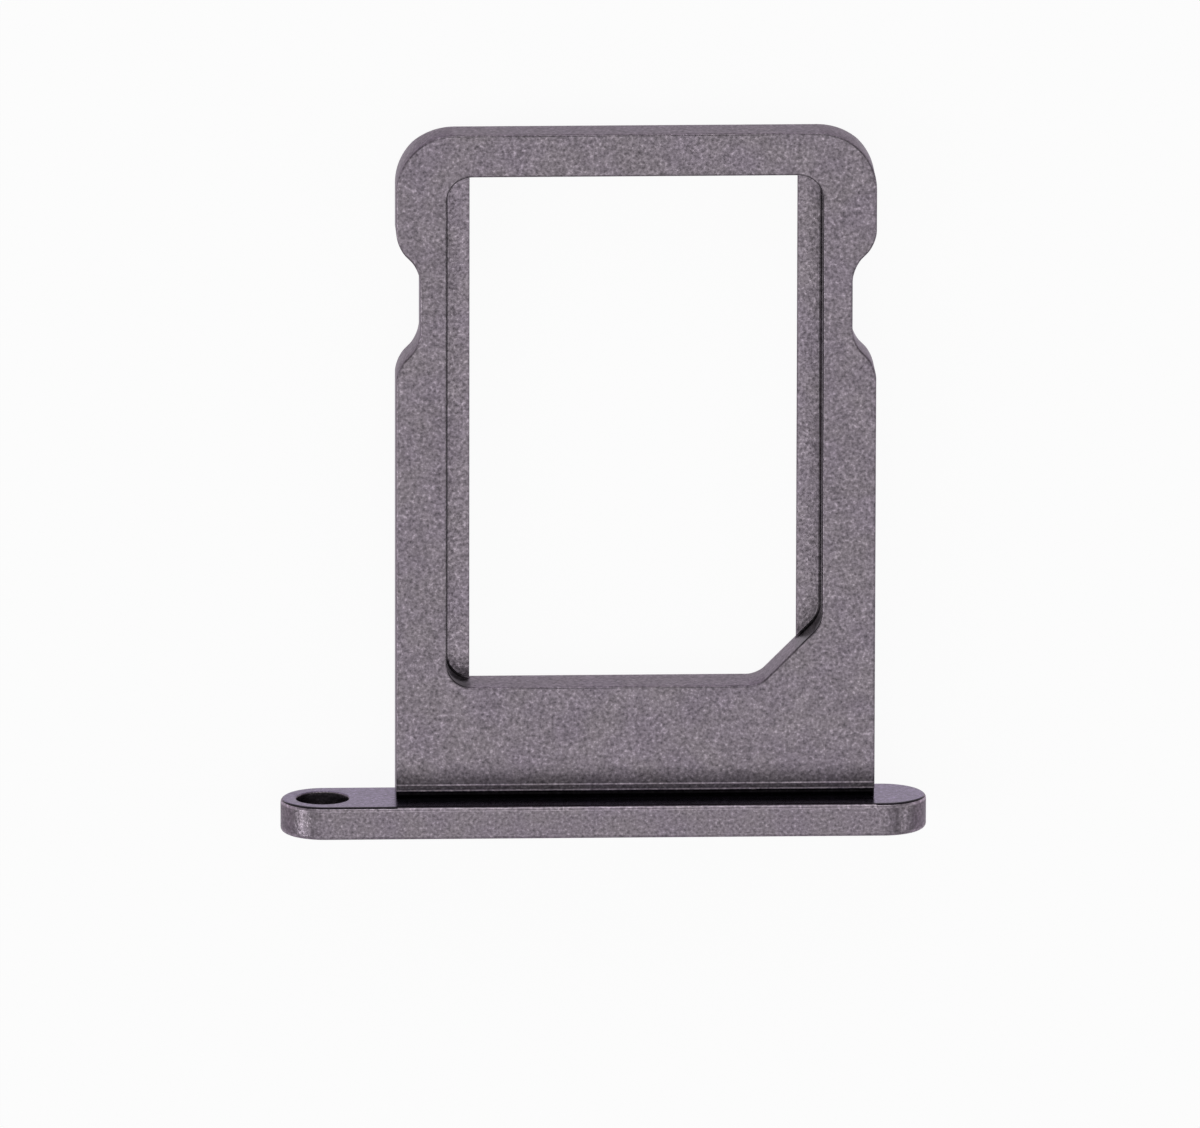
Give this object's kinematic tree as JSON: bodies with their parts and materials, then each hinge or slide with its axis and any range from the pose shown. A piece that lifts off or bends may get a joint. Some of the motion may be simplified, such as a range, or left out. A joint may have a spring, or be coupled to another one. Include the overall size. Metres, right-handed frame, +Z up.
{
  "type": "sim card tray",
  "caption": "Flat metal card tray with a stepped pocket open at the bottom, a notch in each long side and a rounded faceplate with an eject hole",
  "frame": {"origin": "middle of the underside of the tray as it lies flat", "axes": "+X along the faceplate away from the eject hole, +Y the way the tray goes in, from the faceplate to the tip, +Z up, out of the card pocket"},
  "size_m": [0.0154, 0.017, 0.0021],
  "materials": {
    "anodised_aluminium": "fine bead-blasted, dark grey anodised"
  },
  "bodies": {
    "root": {"card_tray": "anodised_aluminium"}
  },
  "joints": []
}
